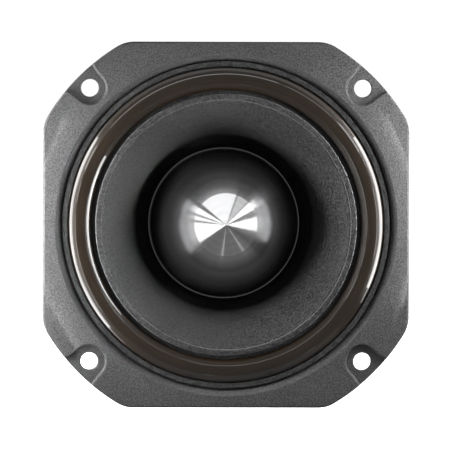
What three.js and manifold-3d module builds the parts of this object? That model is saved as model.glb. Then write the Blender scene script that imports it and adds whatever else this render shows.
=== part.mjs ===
// A 3.75 inch square-frame bullet tweeter: cast frame, horn, trim ring, bullet and ferrite motor.
// Millimetres. The sound axis is Y and the face looks towards -Y. +Z is up.
// The origin is the centre of the flange's rear face, which lies against the panel.
import * as THREE from "three";
import { mergeVertices } from "three/addons/utils/BufferGeometryUtils.js";
import Module from "manifold-3d";

const wasm = await Module();
wasm.setup();

// ---- Driving dimensions ------------------------------------------------------------------------

const GAP = 0.3; // left between pieces that touch
const ROUND = 36; // facets round a large piece that shows
const INNER_ROUND = 28; // facets round a piece inside
const SMALL_ROUND = 12; // facets round a screw or a hole

// Flange and skirt
const FLANGE_HALF = 47.625; // half of 3.75 in across the flats
const CORNER_RADIUS = 54.4; // the square's corners are turned to this circle
const CORNER_FILLET = 9;
const FLANGE_FRONT = -5;
const CHAMFER_OUTER = 44.6;
const CHAMFER_DEPTH = 1.6;
const SEAT_RADIUS = 42.9; // bore that the horn's lip drops into
const SHOULDER_Y = -1; // ledge that carries the horn's lip
const SKIRT_OUTER = 42.3;
const SKIRT_INNER = 40.3;
const SKIRT_END = 36.5;

// Panel screw holes, on a square, each in an open pocket
const HOLE_OFFSET = 35.55;
const HOLE_RADIUS = 2.3;
const POCKET_RADIUS = 4.2;
const POCKET_FLARE = 1.6;
const POCKET_REACH = 6.5;
const POCKET_DEPTH = 1.2;

// Horn
const LIP_OUTER = 42.45;
const CHANNEL_OUTER = 41.5;
const CHANNEL_INNER = 34.1;
const CHANNEL_FLOOR = -2.1;
const LIP_TOP = -3.8;
const LAND_TOP = -4.2;
const MOUTH_RADIUS = 32.2;
const NECK_RADIUS = 22.9;
const FLARE_POWER = 1.8;
const FLARE_STEPS = 6;
const THROAT_RADIUS = 13.6;
const THROAT_LIP_Y = 22.6;
const THROAT_LIP = 0.7; // thickness of the lip that hides the sleeve's end
const SLEEVE_BORE = 15.6;
const HORN_REAR = 30.2;
const HORN_BASE_RADIUS = 22.5;
const HORN_SPIGOT = 40; // the part of the floor that drops inside the skirt
const HORN_SPIGOT_END = 0.7;
const EDGE_BREAK = 0.3; // the small chamfers of the lip and the land
const HORN_BACK = [
  // radius and y down the outside of the bell, from its base to the spigot
  [22.5, 24],
  [24.9, 16.4],
  [25.7, 12.5],
  [27.8, 7.5],
  [30.6, 2.8],
  [32.6, 0.7],
];

// Trim ring
const RING_RADIUS = 38;
const RING_HALF_WIDTH = 3;
const RING_CROWN = -5;
const RING_BASE = CHANNEL_FLOOR - GAP;
const RING_STEPS = 6;

// Bullet
const BULLET_TIP = -5;
const BULLET_RADIUS = 19.86;
const TIP_CONE_RADIUS = 8.4;
const TIP_TILT = THREE.MathUtils.degToRad(24);
const BULLET_ARC = (BULLET_RADIUS - TIP_CONE_RADIUS) / (1 - Math.sin(TIP_TILT));
const TIP_CONE_DEPTH = TIP_CONE_RADIUS * Math.tan(TIP_TILT);
const RIM_Y = BULLET_TIP + TIP_CONE_DEPTH + BULLET_ARC * Math.cos(TIP_TILT);
const BULLET_BACK = 20.7;
const BULLET_BACK_RADIUS = 6.5;
const BULLET_RIM_STEP = [0.5, 0.9]; // the rim's rounding, inwards and backwards
const BULLET_SHOULDER = [11.5, 3.4]; // radius, and distance behind the rim
const BULLET_SCREW_DEPTH = 8;
const BULLET_STEPS = 7;

// Spider that carries the bullet in the throat
const SPIDER_LEGS = 3;
const HUB_RADIUS = 4.5;
const HUB_REAR = 26.3;
const LEG_WIDTH = 2.2;
const LEG_DEPTH = 2.6;
const LEG_INNER = 1;
const LEG_OUTER = 14;
const HUB_SINK = [1.6, 0.3]; // start and end of the hub's countersink, ahead of its rear face
const SLEEVE_OUTER = SLEEVE_BORE - GAP;
const SLEEVE_INNER = 13.4;

// Screws
const M3 = 1.5;
const M3_HOLE = 1.8;
const SCREW_CIRCLE = 37.6;
const BOSS_RADIUS = 3.6;
const SINK_TOP = -1.7;
const SINK_RADIUS = 2.6;
const SINK_DEPTH = 1.3;
const SCREW_END = 37.4;

// Diaphragm and coil
const CARRIER_FRONT = HORN_REAR + 1;
const CARRIER_REAR = CARRIER_FRONT + 2;
const CARRIER_INNER = 15.2;
const CARRIER_OUTER = 26;
const DOME_RADIUS = 12.5;
const DOME_APEX = 27.2;
const DOME_HEIGHT = 4;
const DOME_THICKNESS = 0.3;
const DOME_STEPS = 4;
const ROLL_MIDDLE = 13.9;
const ROLL_RADIUS = 1.1;
const ROLL_THICKNESS = 0.2;
const ROLL_STEPS = 4;
const FORMER_INNER = 12.4;
const FORMER_OUTER = 12.6;
const COIL_INNER = 12.75;
const COIL_OUTER = 13.2;
const COIL_LENGTH = 4.2;
const LEAD_WIDTH = 1.2;
const LEAD_THICKNESS = 0.25;
const LEAD_Y = 32.15;
const LEAD_END = 23;
const LUG_Y = 32.7;
const LUG_WIDTH = 3;
const LUG_INNER = 20;
const LUG_OUTER = 31.3;
const LUG_THICKNESS = 0.3;
const GROOVE_WIDTH = 3.8;
const PAD_RADIUS = 8;

// Motor
const PLATE_FRONT = CARRIER_REAR + GAP;
const PLATE_THICKNESS = 5;
const PLATE_RADIUS = 40;
const GAP_RADIUS = 13.6;
const POLE_RADIUS = 12;
const MAGNET_FRONT = PLATE_FRONT + PLATE_THICKNESS + GAP;
const MAGNET_THICKNESS = 12;
const MAGNET_RADIUS = 38;
const MAGNET_BORE = 18;
const YOKE_FRONT = MAGNET_FRONT + MAGNET_THICKNESS + GAP;
const YOKE_THICKNESS = 4.5;
const YOKE_REAR = YOKE_FRONT + YOKE_THICKNESS;

// Rear cover
const COVER_FRONT = SKIRT_END + GAP;
const COVER_REAR = 65.5;
const COVER_WALL = 1.6;
const COVER_FILLET = 5;
const COVER_SCREW_CIRCLE = 29;
const COVER_BOSS_RADIUS = 3.6;
const COVER_SCREW_HEAD = [2.8, 2]; // radius and height
const COVER_SCREW_TIP = YOKE_FRONT + 1.5;
const WINDOW_GAP = 0.4;

// Push terminals
const TERMINAL_HALF_X = 20;
const TERMINAL_HALF_Z = 9;
const TERMINAL_FRONT = 56.5;
const WELL_FLOOR = TERMINAL_FRONT + 1;
const BUTTON_X = 9.5;
const BUTTON_Z = -0.4;
const WELL_SIZE = [10.8, 9];
const BEZEL_FRONT = COVER_REAR + GAP;
const BEZEL_REAR = BEZEL_FRONT + 1.5;
const BEZEL_SIZE = [50, 22];
const BEZEL_HOLE_SIZE = [9.8, 7.8];
const BEZEL_CORNER = 3;
const BEZEL_SCREW = 1.2;
const BEZEL_SCREW_X = 22.6;
const BEZEL_SCREW_TIP = 61.5;
const BEZEL_SCREW_HEAD = [2.2, 1.5];
const WIRE_HOLE_RADIUS = 1.6;
const WIRE_HOLE_Z = 6;
const CAP_SIZE = [9.2, 7.2];
const CAP_REAR = 70.1;
const DISH_RADIUS = 14; // of the hollow for a fingertip across the cap
const DISH_DEPTH = 0.5;
const FOOT_SIZE = [10.2, 8.4];
const FOOT_REAR = BEZEL_FRONT - 0.4;
const FOOT_THICKNESS = 2;
const CONTACT_Y = WELL_FLOOR + GAP;
const CONTACT_THICKNESS = 0.3;
const CONTACT_START = 4.9;
const CONTACT_END = 23.5;
const CONTACT_WIDTH = 4;
const SLOT_WIDTH = 4.8;
const SPRING_RADIUS = 3.2;
const SPRING_WIRE = 0.35;
const SPRING_TURNS = 4;

// Lead wires, from the diaphragm's lugs round the motor to the terminals
const WIRE_RADIUS = 0.6;
const WIRE_OUT = 39.3;
const WIRE_BEND = 2.5;
const WIRE_STEPS = 28;
const WIRE_START = 28; // under the end of the solder lug

// ---- Materials ---------------------------------------------------------------------------------

function finish(color, roughness, metalness) {
  return new THREE.MeshStandardMaterial({ color, roughness, metalness });
}

const POWDER_COAT = finish(0x2b2c2e, 0.6, 0.1);
const RING_PLASTIC = finish(0x2a2019, 0.08, 0);
const SPUN_ALUMINIUM = finish(0xd6d7d9, 0.25, 1);
const DARK_PLASTIC = finish(0x1b1b1c, 0.5, 0);
const RED_PLASTIC = finish(0xb51a18, 0.4, 0);
const BLACK_STEEL = finish(0x1c1c1e, 0.45, 0.6);
const ZINC_STEEL = finish(0xb9bcc0, 0.35, 1);
const FERRITE = finish(0x3a3a3c, 0.7, 0);
const TITANIUM = finish(0x9a9a9e, 0.35, 1);
const KAPTON = finish(0xb5651d, 0.4, 0);
const COPPER = finish(0xb87333, 0.35, 1);
const BRASS = finish(0xc9a24b, 0.35, 1);
const FOAM = finish(0x3d3d3d, 0.95, 0);
const CARD = finish(0x8a7a5c, 0.9, 0);

// ---- Geometry helpers --------------------------------------------------------------------------

// A closed mesh as a solid for joining and cutting.
function solidOf(geometry) {
  const bare = geometry.clone();
  bare.deleteAttribute("normal");
  bare.deleteAttribute("uv");
  const merged = mergeVertices(bare, 1e-4);
  const mesh = new wasm.Mesh({
    numProp: 3,
    vertProperties: new Float32Array(merged.attributes.position.array),
    triVerts: new Uint32Array(merged.index.array),
  });
  return new wasm.Manifold(mesh);
}

function geometryOf(solid) {
  const mesh = solid.getMesh();
  const geometry = new THREE.BufferGeometry();
  geometry.setAttribute("position", new THREE.BufferAttribute(mesh.vertProperties, 3));
  geometry.setIndex(new THREE.BufferAttribute(mesh.triVerts, 1));
  geometry.computeVertexNormals();
  return geometry;
}

function joined(first, ...others) {
  const whole = others.reduce((solid, other) => solid.add(solidOf(other)), solidOf(first));
  return geometryOf(whole);
}

function cut(first, ...tools) {
  const rest = tools.reduce((solid, tool) => solid.subtract(solidOf(tool)), solidOf(first));
  return geometryOf(rest);
}

// A profile of [radius, y] points turned about the Y axis.
function turned(profile, segments = ROUND) {
  const points = profile.map(([radius, y]) => new THREE.Vector2(radius, y));
  if (THREE.ShapeUtils.area(points) < 0) points.reverse();
  const solid = points[0].x === 0 && points[points.length - 1].x === 0;
  if (!solid) points.push(points[0].clone());
  return new THREE.LatheGeometry(points, segments);
}

function ring(inner, outer, front, rear, segments = ROUND) {
  const profile = [
    [inner, front],
    [outer, front],
    [outer, rear],
    [inner, rear],
  ];
  return turned(profile, segments);
}

function disc(radius, front, rear, segments = ROUND) {
  const profile = [
    [0, front],
    [radius, front],
    [radius, rear],
    [0, rear],
  ];
  return turned(profile, segments);
}

// A round bar along Y whose axis passes through x, z.
function bar(radius, front, rear, x, z) {
  return disc(radius, front, rear, SMALL_ROUND).translate(x, 0, z);
}

// A flat outline in X and Z, made solid between two Y values.
function slab(shape, front, rear, curveSegments = 3) {
  const options = { depth: rear - front, bevelEnabled: false, curveSegments };
  const geometry = new THREE.ExtrudeGeometry(shape, options);
  return geometry.rotateX(Math.PI / 2).translate(0, rear, 0);
}

function box(lowX, highX, front, rear, lowZ, highZ) {
  const geometry = new THREE.BoxGeometry(highX - lowX, rear - front, highZ - lowZ);
  return geometry.translate((lowX + highX) / 2, (front + rear) / 2, (lowZ + highZ) / 2);
}

function roundedRectangle(width, height, corner, x = 0, z = 0) {
  const shape = new THREE.Shape();
  const right = x + width / 2 - corner;
  const top = z + height / 2 - corner;
  const left = x - width / 2 + corner;
  const bottom = z - height / 2 + corner;
  const quarter = Math.PI / 2;
  shape.absarc(right, top, corner, 0, quarter);
  shape.absarc(left, top, corner, quarter, 2 * quarter);
  shape.absarc(left, bottom, corner, 2 * quarter, 3 * quarter);
  shape.absarc(right, bottom, corner, 3 * quarter, 4 * quarter);
  shape.closePath();
  return shape;
}

// Turns a piece made beside the +X axis to the given angle in the X-Z plane.
function turnedTo(geometry, angle) {
  return geometry.rotateY(-angle);
}

// The angles of the diagonal screws, from +X towards +Z.
const DIAGONALS = [1, 3, 5, 7].map((eighth) => (eighth * Math.PI) / 4);

const LEFT_AND_RIGHT = [
  { side: 1, label: "1" },
  { side: -1, label: "2" },
];

const group = new THREE.Group();

function piece(name, geometry, material) {
  const mesh = new THREE.Mesh(geometry, material);
  mesh.name = name;
  group.add(mesh);
}

// ---- Front frame -------------------------------------------------------------------------------

// A square with its corners turned to a circle, and a fillet between each flat and that circle.
function flangeOutline() {
  const shape = new THREE.Shape();
  const filletX = FLANGE_HALF - CORNER_FILLET;
  const filletReach = CORNER_RADIUS - CORNER_FILLET;
  const filletZ = Math.sqrt(filletReach ** 2 - filletX ** 2);
  const tangent = Math.atan2(filletZ, filletX);
  for (let quarter = 0; quarter < 4; quarter += 1) {
    const start = (quarter * Math.PI) / 2;
    const end = start + Math.PI / 2;
    const [first, second] = [start + tangent, end - tangent].map((angle) => [
      filletReach * Math.cos(angle),
      filletReach * Math.sin(angle),
    ]);
    shape.absarc(first[0], first[1], CORNER_FILLET, start, start + tangent);
    shape.absarc(0, 0, CORNER_RADIUS, start + tangent, end - tangent);
    shape.absarc(second[0], second[1], CORNER_FILLET, end - tangent, end);
  }
  shape.closePath();
  return shape;
}

// The recess round a panel screw: round towards the middle, and open and flared towards the corner.
function pocket(angle) {
  const shape = new THREE.Shape();
  shape.absarc(0, 0, POCKET_RADIUS, Math.PI / 2, (3 * Math.PI) / 2);
  shape.lineTo(POCKET_REACH, -POCKET_RADIUS - POCKET_FLARE);
  shape.lineTo(POCKET_REACH, POCKET_RADIUS + POCKET_FLARE);
  shape.closePath();
  const geometry = slab(shape, FLANGE_FRONT - 1, FLANGE_FRONT + POCKET_DEPTH, 8);
  return turnedTo(geometry.translate(HOLE_OFFSET * Math.SQRT2, 0, 0), angle);
}

function frontFrame() {
  const seat = turned([
    [0, FLANGE_FRONT - 1],
    [CHAMFER_OUTER, FLANGE_FRONT - 1],
    [CHAMFER_OUTER, FLANGE_FRONT],
    [CHAMFER_OUTER - CHAMFER_DEPTH, FLANGE_FRONT + CHAMFER_DEPTH],
    [SEAT_RADIUS, FLANGE_FRONT + CHAMFER_DEPTH + 0.1],
    [SEAT_RADIUS, SHOULDER_Y],
    [0, SHOULDER_Y],
  ]);
  const pockets = DIAGONALS.map(pocket);
  const panelHoles = DIAGONALS.map((angle) => {
    const hole = bar(HOLE_RADIUS, FLANGE_FRONT - 1, 1, HOLE_OFFSET * Math.SQRT2, 0);
    return turnedTo(hole, angle);
  });
  const bosses = DIAGONALS.map((angle) => {
    const boss = bar(BOSS_RADIUS, HORN_SPIGOT_END + GAP, PLATE_FRONT - GAP, SCREW_CIRCLE, 0);
    return turnedTo(boss, angle);
  });
  const screwHoles = DIAGONALS.map((angle) => {
    return turnedTo(bar(M3_HOLE, 0, PLATE_FRONT, SCREW_CIRCLE, 0), angle);
  });
  const blank = joined(slab(flangeOutline(), FLANGE_FRONT, 0), disc(SKIRT_OUTER, -0.5, SKIRT_END));
  const bore = disc(SKIRT_INNER, FLANGE_FRONT, SKIRT_END + 1);
  const bored = cut(blank, bore, seat, ...pockets, ...panelHoles);
  return cut(joined(bored, ...bosses), ...screwHoles);
}

// ---- Horn, trim ring and bullet ----------------------------------------------------------------

// The bell's inner wall, from the mouth's land to the neck beside the bullet's rim.
function flareWall() {
  const wall = [];
  for (let step = 0; step <= FLARE_STEPS; step += 1) {
    const reach = 1 - step / FLARE_STEPS;
    const radius = NECK_RADIUS + (MOUTH_RADIUS - NECK_RADIUS) * reach ** FLARE_POWER;
    wall.push([radius, RIM_Y + (LAND_TOP + 0.1 - RIM_Y) * reach]);
  }
  return wall;
}

// The quarter ellipse that closes in from the neck to the throat.
function throatWall() {
  const wall = [];
  for (const degrees of [30, 60, 90]) {
    const angle = THREE.MathUtils.degToRad(degrees);
    const radius = THROAT_RADIUS + (NECK_RADIUS - THROAT_RADIUS) * Math.cos(angle);
    wall.push([radius, RIM_Y + (THROAT_LIP_Y - RIM_Y) * Math.sin(angle)]);
  }
  return wall;
}

// The countersink and clearance hole of an assembly screw, beside the +X axis.
function countersink(extra) {
  const profile = [
    [0, SINK_TOP - 1],
    [SINK_RADIUS + extra, SINK_TOP - 1],
    [SINK_RADIUS + extra, SINK_TOP],
    [M3 + extra, SINK_TOP + SINK_DEPTH],
    [M3 + extra, HORN_SPIGOT_END + 1],
    [0, HORN_SPIGOT_END + 1],
  ];
  return turned(profile, SMALL_ROUND).translate(SCREW_CIRCLE, 0, 0);
}

function hornFlare() {
  const body = turned([
    [LIP_OUTER, SHOULDER_Y - GAP],
    [LIP_OUTER, LIP_TOP + EDGE_BREAK],
    [LIP_OUTER - EDGE_BREAK, LIP_TOP],
    [CHANNEL_OUTER + EDGE_BREAK, LIP_TOP],
    [CHANNEL_OUTER, LIP_TOP + EDGE_BREAK],
    [CHANNEL_OUTER, CHANNEL_FLOOR],
    [CHANNEL_INNER, CHANNEL_FLOOR],
    [CHANNEL_INNER, LAND_TOP + EDGE_BREAK],
    [CHANNEL_INNER - EDGE_BREAK, LAND_TOP],
    [MOUTH_RADIUS + 0.2, LAND_TOP],
    ...flareWall(),
    ...throatWall(),
    [THROAT_RADIUS, THROAT_LIP_Y + THROAT_LIP],
    [SLEEVE_BORE, THROAT_LIP_Y + THROAT_LIP],
    [SLEEVE_BORE, HORN_REAR],
    [HORN_BASE_RADIUS, HORN_REAR],
    ...HORN_BACK,
    [HORN_SPIGOT, HORN_SPIGOT_END],
    [HORN_SPIGOT, SHOULDER_Y - GAP],
  ]);
  return cut(body, ...DIAGONALS.map((angle) => turnedTo(countersink(GAP), angle)));
}

// A half-round ring with a flat base.
function trimRing() {
  const profile = [];
  for (let step = 0; step <= RING_STEPS; step += 1) {
    const angle = (Math.PI * step) / RING_STEPS;
    profile.push([
      RING_RADIUS + RING_HALF_WIDTH * Math.cos(angle),
      RING_BASE + (RING_CROWN - RING_BASE) * Math.sin(angle),
    ]);
  }
  return turned(profile);
}

// A conical tip that runs into a round nose, the widest rim, and a back that tapers to the hub.
function bullet() {
  const profile = [[0, BULLET_TIP]];
  const arcRadius = BULLET_RADIUS - BULLET_ARC;
  for (let step = 0; step <= BULLET_STEPS; step += 1) {
    const angle = TIP_TILT + ((Math.PI / 2 - TIP_TILT) * step) / BULLET_STEPS;
    profile.push([arcRadius + BULLET_ARC * Math.sin(angle), RIM_Y - BULLET_ARC * Math.cos(angle)]);
  }
  profile.push([BULLET_RADIUS - BULLET_RIM_STEP[0], RIM_Y + BULLET_RIM_STEP[1]]);
  profile.push([BULLET_SHOULDER[0], RIM_Y + BULLET_SHOULDER[1]]);
  profile.push([BULLET_BACK_RADIUS, BULLET_BACK]);
  profile.push([M3_HOLE, BULLET_BACK]);
  profile.push([M3_HOLE, BULLET_BACK - BULLET_SCREW_DEPTH]);
  profile.push([0, BULLET_BACK - BULLET_SCREW_DEPTH]);
  return turned(profile);
}

// A throat sleeve with three legs and the hub that the bullet is screwed to.
function bulletSpider() {
  const sleeve = ring(SLEEVE_INNER, SLEEVE_OUTER, THROAT_LIP_Y + 1, HORN_REAR - GAP);
  const hub = disc(HUB_RADIUS, BULLET_BACK + GAP, HUB_REAR, SMALL_ROUND);
  const legs = [];
  for (let leg = 0; leg < SPIDER_LEGS; leg += 1) {
    const angle = Math.PI / 2 + (leg * 2 * Math.PI) / SPIDER_LEGS;
    const front = HUB_REAR - LEG_DEPTH;
    const blade = box(LEG_INNER, LEG_OUTER, front, HUB_REAR, -LEG_WIDTH / 2, LEG_WIDTH / 2);
    legs.push(turnedTo(blade, angle));
  }
  const screwHole = turned(
    [
      [0, BULLET_BACK],
      [M3_HOLE, BULLET_BACK],
      [M3_HOLE, HUB_REAR - HUB_SINK[0]],
      [SINK_RADIUS + 0.2, HUB_REAR - HUB_SINK[1]],
      [SINK_RADIUS + 0.2, HUB_REAR + 1],
      [0, HUB_REAR + 1],
    ],
    SMALL_ROUND,
  );
  return cut(joined(sleeve, hub, ...legs), screwHole);
}

function bulletScrew() {
  const profile = [
    [0, BULLET_BACK - BULLET_SCREW_DEPTH + 1],
    [M3, BULLET_BACK - BULLET_SCREW_DEPTH + 1],
    [M3, HUB_REAR - HUB_SINK[0]],
    [SINK_RADIUS - 0.1, HUB_REAR - HUB_SINK[1]],
    [SINK_RADIUS - 0.1, HUB_REAR - 0.1],
    [0, HUB_REAR - 0.1],
  ];
  return turned(profile, SMALL_ROUND);
}

// A long countersunk screw that clamps the horn, the frame and the motor together.
function assemblyScrew(angle) {
  const profile = [
    [0, SINK_TOP],
    [SINK_RADIUS, SINK_TOP],
    [M3, SINK_TOP + SINK_DEPTH],
    [M3, SCREW_END],
    [0, SCREW_END],
  ];
  return turnedTo(turned(profile, SMALL_ROUND).translate(SCREW_CIRCLE, 0, 0), angle);
}

// ---- Diaphragm assembly ------------------------------------------------------------------------

function throatGasket() {
  const [front, rear] = [HORN_REAR + GAP, CARRIER_FRONT - GAP];
  return ring(SLEEVE_BORE + 0.2, HORN_BASE_RADIUS, front, rear, INNER_ROUND);
}

// A plastic ring that holds the surround, with a groove behind it for each coil lead and lug.
function diaphragmRing() {
  const body = ring(CARRIER_INNER, CARRIER_OUTER, CARRIER_FRONT, CARRIER_REAR, INNER_ROUND);
  const groove = box(
    -CARRIER_OUTER - 1,
    CARRIER_OUTER + 1,
    LEAD_Y - 0.25,
    CARRIER_REAR + 1,
    -GROOVE_WIDTH / 2,
    GROOVE_WIDTH / 2,
  );
  return cut(body, groove);
}

// A half roll between the dome's rim and the carrier ring.
function surround() {
  const rollY = CARRIER_FRONT + GAP;
  const half = (radius) => {
    const points = [];
    for (let step = 0; step <= ROLL_STEPS; step += 1) {
      const angle = Math.PI * (1 + step / ROLL_STEPS);
      points.push([ROLL_MIDDLE + radius * Math.cos(angle), rollY + radius * Math.sin(angle)]);
    }
    return points;
  };
  const inside = half(ROLL_RADIUS - ROLL_THICKNESS);
  return turned([...half(ROLL_RADIUS), ...inside.reverse()], INNER_ROUND);
}

function domeDiaphragm() {
  const profile = [];
  for (let step = 0; step <= DOME_STEPS; step += 1) {
    const reach = step / DOME_STEPS;
    profile.push([DOME_RADIUS * reach, DOME_APEX + DOME_HEIGHT * reach ** 2]);
  }
  for (let step = DOME_STEPS; step >= 0; step -= 1) {
    const reach = step / DOME_STEPS;
    profile.push([DOME_RADIUS * reach, DOME_APEX + DOME_THICKNESS + DOME_HEIGHT * reach ** 2]);
  }
  return turned(profile, INNER_ROUND);
}

const FORMER_FRONT = DOME_APEX + DOME_HEIGHT + DOME_THICKNESS + GAP;
const COIL_FRONT = PLATE_FRONT + (PLATE_THICKNESS - COIL_LENGTH) / 2;

function coilFormer() {
  return ring(FORMER_INNER, FORMER_OUTER, FORMER_FRONT, COIL_FRONT + COIL_LENGTH, INNER_ROUND);
}

function voiceCoil() {
  return ring(COIL_INNER, COIL_OUTER, COIL_FRONT, COIL_FRONT + COIL_LENGTH - 0.2, INNER_ROUND);
}

// A flat lead that leaves the coil forwards and turns outwards to its lug.
function coilLead(side) {
  const inner = COIL_INNER + 0.1;
  const half = LEAD_WIDTH / 2;
  const upright = box(inner, inner + LEAD_THICKNESS, LEAD_Y, COIL_FRONT - GAP, -half, half);
  const level = box(inner, LEAD_END, LEAD_Y, LEAD_Y + LEAD_THICKNESS, -half, half);
  return turnedTo(joined(level, upright), side > 0 ? 0 : Math.PI);
}

function solderLug(side) {
  const half = LUG_WIDTH / 2;
  const tab = box(LUG_INNER, LUG_OUTER, LUG_Y, LUG_Y + LUG_THICKNESS, -half, half);
  return turnedTo(tab, side > 0 ? 0 : Math.PI);
}

function polePad() {
  return disc(PAD_RADIUS, PLATE_FRONT - GAP - 1, PLATE_FRONT - GAP, INNER_ROUND);
}

// ---- Motor -------------------------------------------------------------------------------------

// The front plate, tapped for the long screws and notched for the two lead wires.
function topPlate() {
  const rear = PLATE_FRONT + PLATE_THICKNESS;
  const body = ring(GAP_RADIUS, PLATE_RADIUS, PLATE_FRONT, rear, INNER_ROUND);
  const holes = DIAGONALS.map((angle) => {
    return turnedTo(bar(M3_HOLE, PLATE_FRONT - 1, MAGNET_FRONT, SCREW_CIRCLE, 0), angle);
  });
  const notches = LEFT_AND_RIGHT.map(({ side }) => {
    const room = WIRE_RADIUS + GAP;
    const low = WIRE_OUT - room;
    const notch = box(low, PLATE_RADIUS + 1, PLATE_FRONT - 1, MAGNET_FRONT, -room, room);
    return turnedTo(notch, side > 0 ? 0 : Math.PI);
  });
  return cut(body, ...holes, ...notches);
}

function magnet() {
  const rear = MAGNET_FRONT + MAGNET_THICKNESS;
  return ring(MAGNET_BORE, MAGNET_RADIUS, MAGNET_FRONT, rear, INNER_ROUND);
}

// Back plate and pole in one piece, with blind holes for the cover's screws.
function yoke() {
  const profile = [
    [0, PLATE_FRONT],
    [POLE_RADIUS, PLATE_FRONT],
    [POLE_RADIUS, YOKE_FRONT],
    [MAGNET_RADIUS, YOKE_FRONT],
    [MAGNET_RADIUS, YOKE_REAR],
    [0, YOKE_REAR],
  ];
  const body = turned(profile, INNER_ROUND);
  const holes = DIAGONALS.map((angle) => {
    return turnedTo(bar(M3_HOLE, YOKE_FRONT + 1, YOKE_REAR + 1, COVER_SCREW_CIRCLE, 0), angle);
  });
  return cut(body, ...holes);
}

// ---- Rear cover --------------------------------------------------------------------------------

// A quarter-round edge from the side wall to the rear wall.
function coverEdge(radius, rear, fillet) {
  return [0, 30, 60, 90].map((degrees) => {
    const angle = THREE.MathUtils.degToRad(degrees);
    return [radius - fillet * (1 - Math.cos(angle)), rear - fillet * (1 - Math.sin(angle))];
  });
}

function rearCover() {
  const innerRadius = SKIRT_OUTER - COVER_WALL;
  const innerRear = COVER_REAR - COVER_WALL;
  const inside = coverEdge(innerRadius, innerRear, COVER_FILLET - COVER_WALL);
  const cup = turned([
    [innerRadius, COVER_FRONT],
    [SKIRT_OUTER, COVER_FRONT],
    ...coverEdge(SKIRT_OUTER, COVER_REAR, COVER_FILLET),
    [0, COVER_REAR],
    [0, innerRear],
    ...inside.reverse(),
  ]);
  const bosses = DIAGONALS.map((angle) => {
    const boss = bar(COVER_BOSS_RADIUS, YOKE_REAR + GAP, COVER_REAR - 1, COVER_SCREW_CIRCLE, 0);
    return turnedTo(boss, angle);
  });
  const screwHoles = DIAGONALS.map((angle) => {
    return turnedTo(bar(M3_HOLE, YOKE_REAR, COVER_REAR + 1, COVER_SCREW_CIRCLE, 0), angle);
  });
  const [halfX, halfZ] = [TERMINAL_HALF_X + WINDOW_GAP, TERMINAL_HALF_Z + WINDOW_GAP];
  const window = box(-halfX, halfX, innerRear - 1, COVER_REAR + 1, -halfZ, halfZ);
  const bezelHoles = LEFT_AND_RIGHT.map(({ side }) => {
    return bar(BEZEL_SCREW + 0.2, innerRear - 1, COVER_REAR + 1, side * BEZEL_SCREW_X, 0);
  });
  return cut(joined(cup, ...bosses), window, ...screwHoles, ...bezelHoles);
}

// A pan-head screw along Y, with its head at the rear.
function panScrew(x, z, radius, tip, seat, [headRadius, headHeight]) {
  const profile = [
    [0, tip],
    [radius, tip],
    [radius, seat],
    [headRadius, seat],
    [headRadius, seat + 0.6 * headHeight],
    [0.7 * headRadius, seat + headHeight],
    [0, seat + headHeight],
  ];
  return turned(profile, SMALL_ROUND).translate(x, 0, z);
}

function coverScrew(angle) {
  const [x, z] = [COVER_SCREW_CIRCLE * Math.cos(angle), COVER_SCREW_CIRCLE * Math.sin(angle)];
  return panScrew(x, z, M3, COVER_SCREW_TIP, COVER_REAR + GAP, COVER_SCREW_HEAD);
}

// ---- Push terminals ----------------------------------------------------------------------------

// The plastic body behind the bezel, with a well, a wire channel and a contact slot for each button.
function terminalBody() {
  const rear = COVER_REAR;
  const [halfX, halfZ] = [TERMINAL_HALF_X, TERMINAL_HALF_Z];
  const block = box(-halfX, halfX, TERMINAL_FRONT, rear, -halfZ, halfZ);
  const hollows = LEFT_AND_RIGHT.flatMap(({ side }) => {
    const x = side * BUTTON_X;
    const well = box(
      x - WELL_SIZE[0] / 2,
      x + WELL_SIZE[0] / 2,
      WELL_FLOOR,
      rear + 1,
      BUTTON_Z - WELL_SIZE[1] / 2,
      BUTTON_Z + WELL_SIZE[1] / 2,
    );
    const channel = bar(WIRE_HOLE_RADIUS + 0.1, WELL_FLOOR + 1, rear + 1, x, WIRE_HOLE_Z);
    const half = SLOT_WIDTH / 2;
    const slot = box(BUTTON_X, TERMINAL_HALF_X + 1, WELL_FLOOR, WELL_FLOOR + 1, -half, half);
    return [well, channel, turnedTo(slot, side > 0 ? 0 : Math.PI)];
  });
  return cut(block, ...hollows);
}

function terminalPlate() {
  const blank = slab(roundedRectangle(...BEZEL_SIZE, BEZEL_CORNER), BEZEL_FRONT, BEZEL_REAR);
  const [front, rear] = [BEZEL_FRONT - 1, BEZEL_REAR + 1];
  const openings = LEFT_AND_RIGHT.flatMap(({ side }) => {
    const x = side * BUTTON_X;
    return [
      slab(roundedRectangle(...BEZEL_HOLE_SIZE, 1, x, BUTTON_Z), front, rear),
      bar(WIRE_HOLE_RADIUS, front, rear, x, WIRE_HOLE_Z),
      bar(BEZEL_SCREW + GAP, front, rear, side * BEZEL_SCREW_X, 0),
    ];
  });
  return cut(blank, ...openings);
}

function terminalScrew(side) {
  const [x, seat] = [side * BEZEL_SCREW_X, BEZEL_REAR + GAP];
  return panScrew(x, 0, BEZEL_SCREW, BEZEL_SCREW_TIP, seat, BEZEL_SCREW_HEAD);
}

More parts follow.
